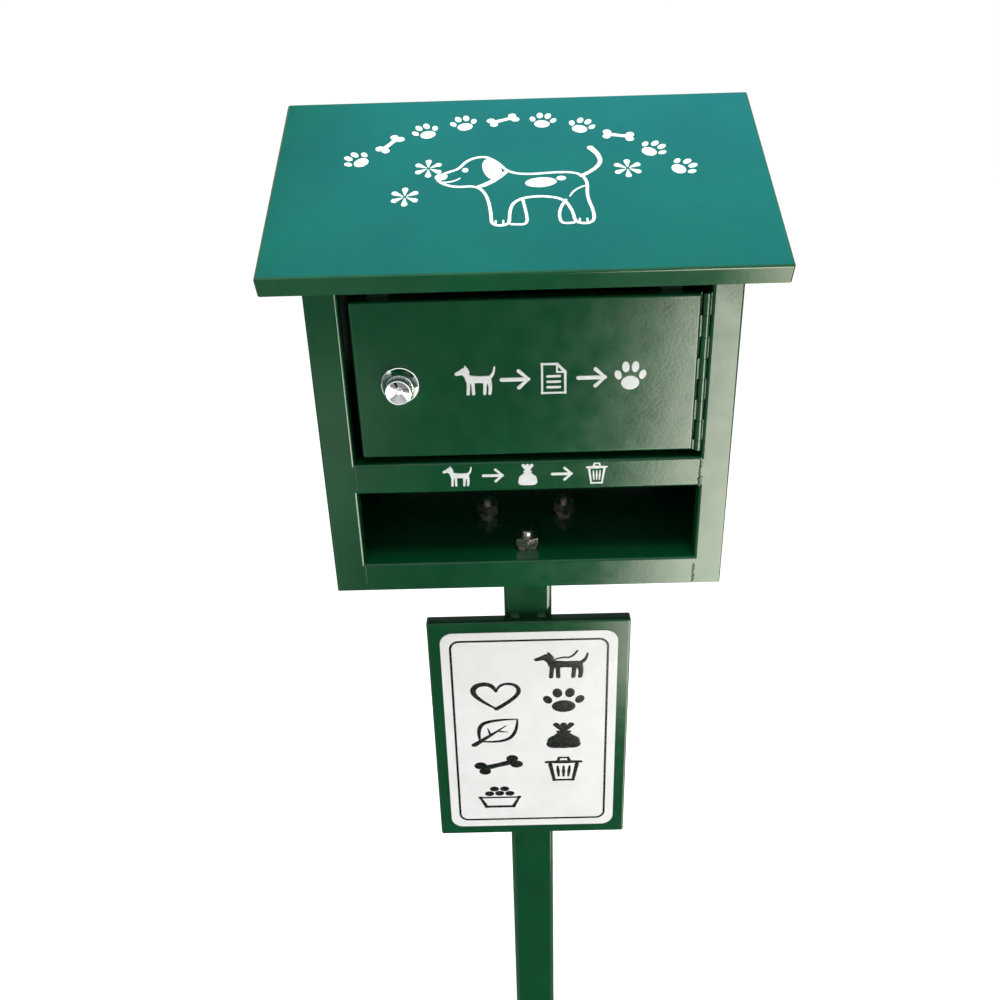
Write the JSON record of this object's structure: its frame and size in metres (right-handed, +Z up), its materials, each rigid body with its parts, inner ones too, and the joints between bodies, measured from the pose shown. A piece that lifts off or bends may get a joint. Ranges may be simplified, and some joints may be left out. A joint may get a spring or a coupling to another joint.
{
  "type": "dog waste bag dispenser",
  "caption": "Pet waste station: square post on a bolted foot carries a steel cabinet with an open bag slot, a hinged door with a knob cam latch, a sloping roof, and a notice plate below.",
  "frame": {"origin": "centre of the foot's underside, on the post's axis", "axes": "+X right seen from the front, +Y to the back, +Z up"},
  "size_m": [0.34, 0.2043, 1.3432],
  "materials": {
    "powder_coat": "gloss green powder coat with fine orange peel",
    "chrome": "bright chrome plate",
    "zinc_plate": "bright zinc plate",
    "printed_panel": "white printed film, satin"
  },
  "bodies": {
    "stand": {"base_plate": "powder_coat", "base_gussets": "powder_coat", "base_weld": "powder_coat", "post_tube": "powder_coat", "flange_weld": "powder_coat", "post_flange": "powder_coat", "flange_bolts": "zinc_plate", "flange_washers": "zinc_plate", "flange_nuts": "zinc_plate", "casing_shell": "powder_coat", "floor_pan": "powder_coat", "middle_rail": "powder_coat", "top_rail": "powder_coat", "rail_welds": "powder_coat", "divider_shelf": "powder_coat", "roof_pan": "powder_coat", "roof_welds": "powder_coat", "hinge_frame_leaf": "powder_coat", "hinge_pin": "zinc_plate", "door_stops": "powder_coat", "sign_pan": "powder_coat", "sign_label": "printed_panel", "sign_welds": "powder_coat"},
    "door": {"door_panel": "powder_coat", "hinge_door_leaf": "powder_coat", "latch_housing": "chrome", "latch_washer": "zinc_plate", "latch_nut": "zinc_plate"},
    "latch": {"latch_knob": "chrome", "latch_cam": "zinc_plate", "latch_cam_washer": "zinc_plate", "latch_cam_screw": "zinc_plate"}
  },
  "joints": [
    {"name": "door_hinge", "type": "hinge", "parent": "stand", "child": "door", "pos_m": [0.1253, -0.0586, 1.173], "axis": [0, 0, 1], "range_deg": [0, 120]},
    {"name": "latch_turn", "type": "hinge", "parent": "door", "child": "latch", "pos_m": [-0.088, -0.0595, 1.171], "axis": [0, 1, 0], "range_deg": [0, 90]}
  ]
}
